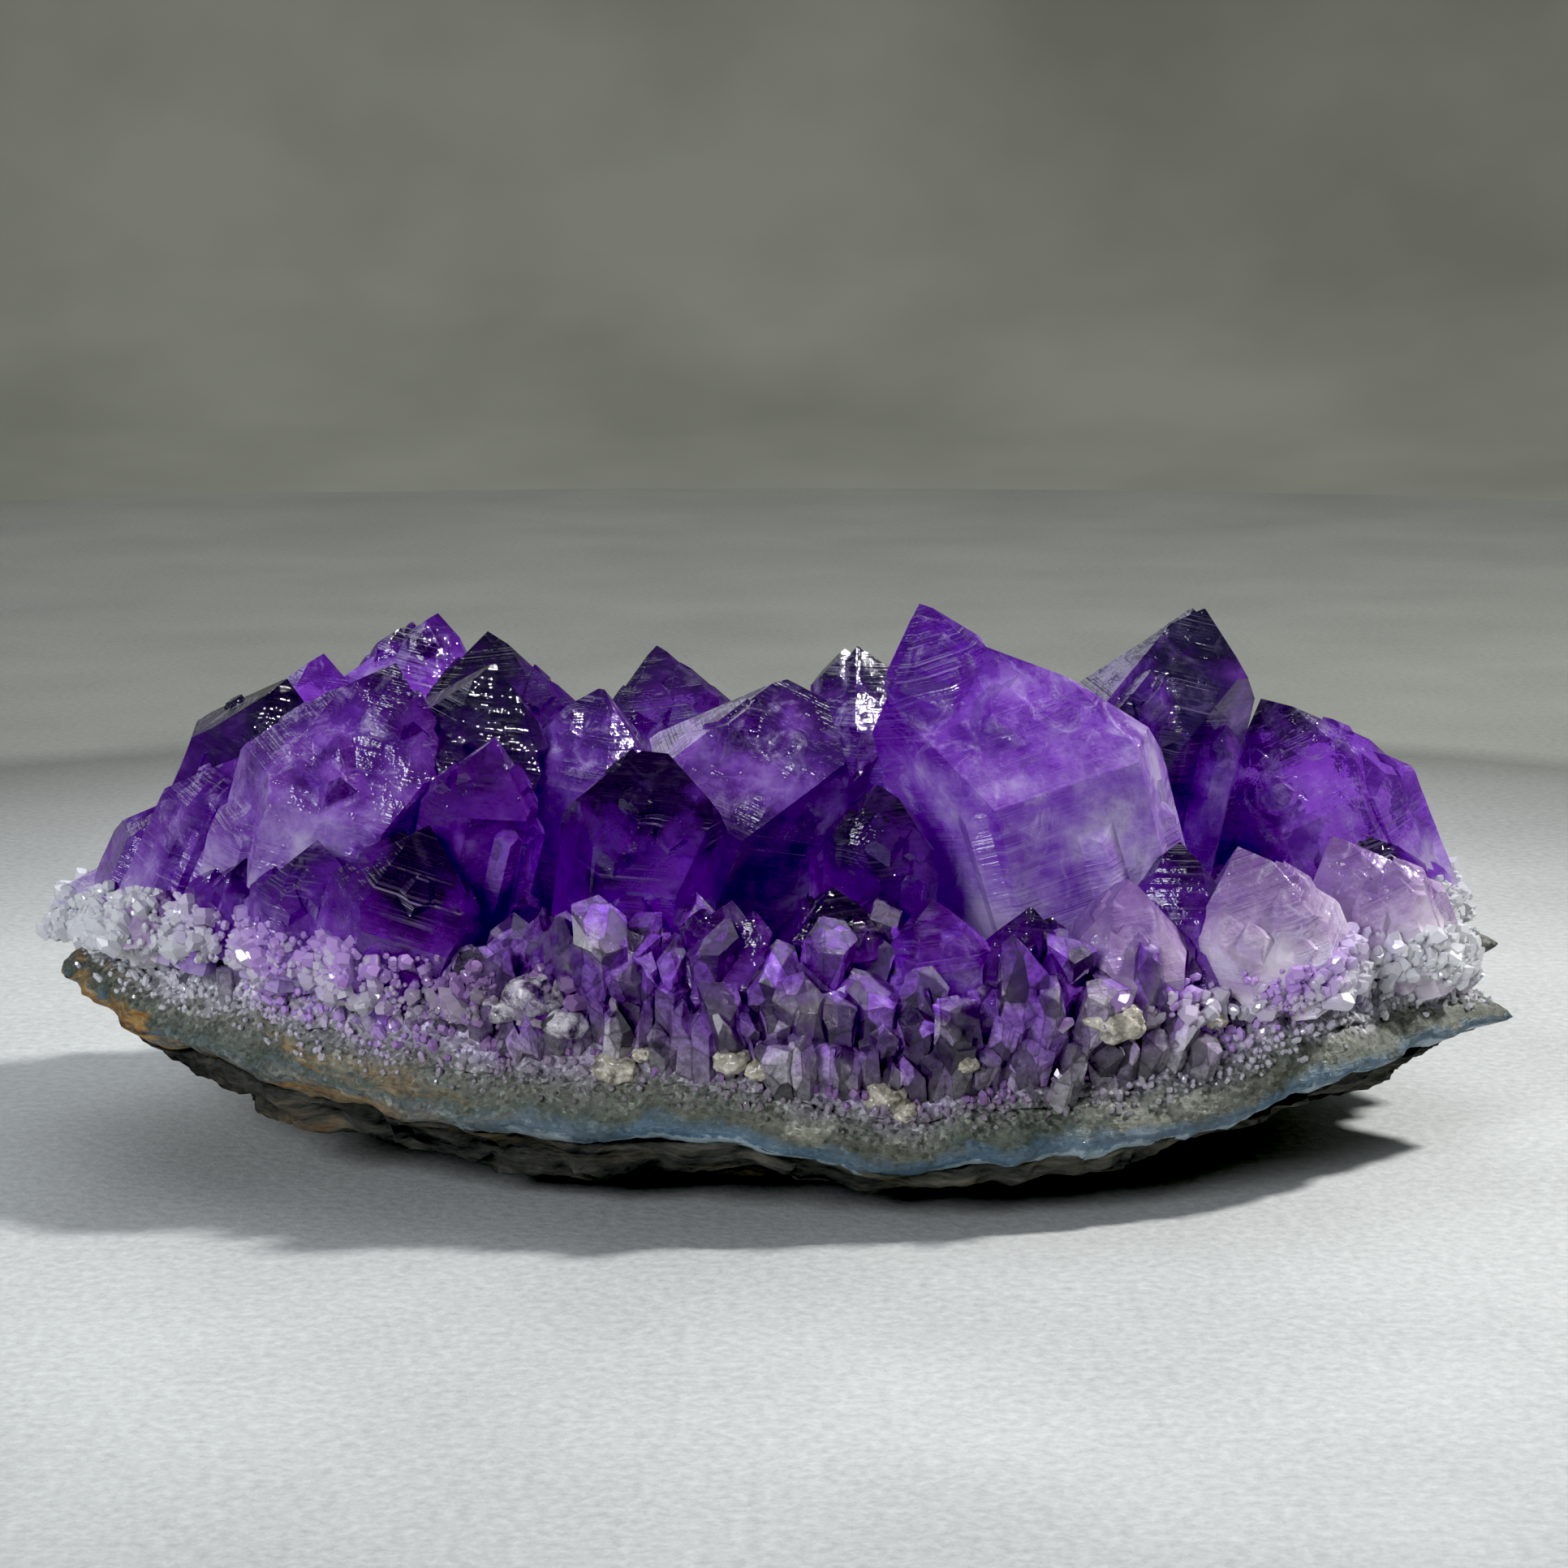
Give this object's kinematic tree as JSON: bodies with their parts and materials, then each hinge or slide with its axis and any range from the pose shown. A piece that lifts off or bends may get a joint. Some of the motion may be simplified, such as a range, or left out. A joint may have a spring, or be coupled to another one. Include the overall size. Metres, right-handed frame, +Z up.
{
  "type": "amethyst cluster",
  "caption": "Boat-shaped slab of geode wall, dark rock under agate and milky quartz, crowded with violet amethyst points of uneven size.",
  "frame": {"origin": "on the surface the cluster rests on, under the middle of its bounding box", "axes": "+X along the slab's length, with the tallest wide point on that side; +Z up, the way the points grow; -Y towards the broken front"},
  "size_m": [0.1208, 0.071, 0.0426],
  "materials": {
    "host_rock": "rough broken basalt",
    "agate": "waxy banded agate and chalcedony, stained with iron",
    "milky_quartz": "sugary quartz druse",
    "amethyst": "glossy crystal faces, dark at the tips",
    "pale_amethyst": "cloudy lavender crystal"
  },
  "bodies": {
    "root": {"host_rock": "host_rock", "agate_layer": "agate", "quartz_bed": "milky_quartz", "back_point_1_1": "amethyst", "back_point_1_2": "amethyst", "back_point_1_3": "amethyst", "back_point_1_4": "amethyst", "back_point_1_5": "amethyst", "back_point_1_6": "amethyst", "back_point_1_7": "amethyst", "back_point_1_8": "amethyst", "back_point_2_1": "amethyst", "back_point_2_2": "amethyst", "back_point_3_1": "amethyst", "back_point_3_2": "amethyst", "back_point_4_1": "amethyst", "back_point_4_2": "amethyst", "back_point_4_3": "amethyst", "centre_back_point": "amethyst", "centre_point": "amethyst", "far_left_back_point": "amethyst", "front_bright_point": "amethyst", "front_centre_point": "amethyst", "front_dark_point": "amethyst", "front_far_left_point": "amethyst", "front_glow_point": "amethyst", "front_lavender_point": "pale_amethyst", "front_left_point": "amethyst", "front_low_point": "amethyst", "front_narrow_point": "amethyst", "front_ridge_point": "amethyst", "front_slim_point": "amethyst", "front_stub_point": "amethyst", "front_violet_point": "amethyst", "frosted_point": "amethyst", "giant_point": "amethyst", "left_back_point": "amethyst", "left_centre_point": "amethyst", "left_dark_point": "amethyst", "left_end_point": "amethyst", "left_lump_point": "pale_amethyst", "left_ridge_point": "amethyst", "left_slope_point": "amethyst", "left_violet_point": "amethyst", "pale_point": "pale_amethyst", "right_bead_point": "amethyst", "right_end_point": "amethyst", "right_pink_point": "pale_amethyst", "right_shoulder_point": "amethyst", "tall_left_point": "amethyst", "tall_right_point": "amethyst", "valley_back_point": "amethyst"}
  },
  "joints": []
}
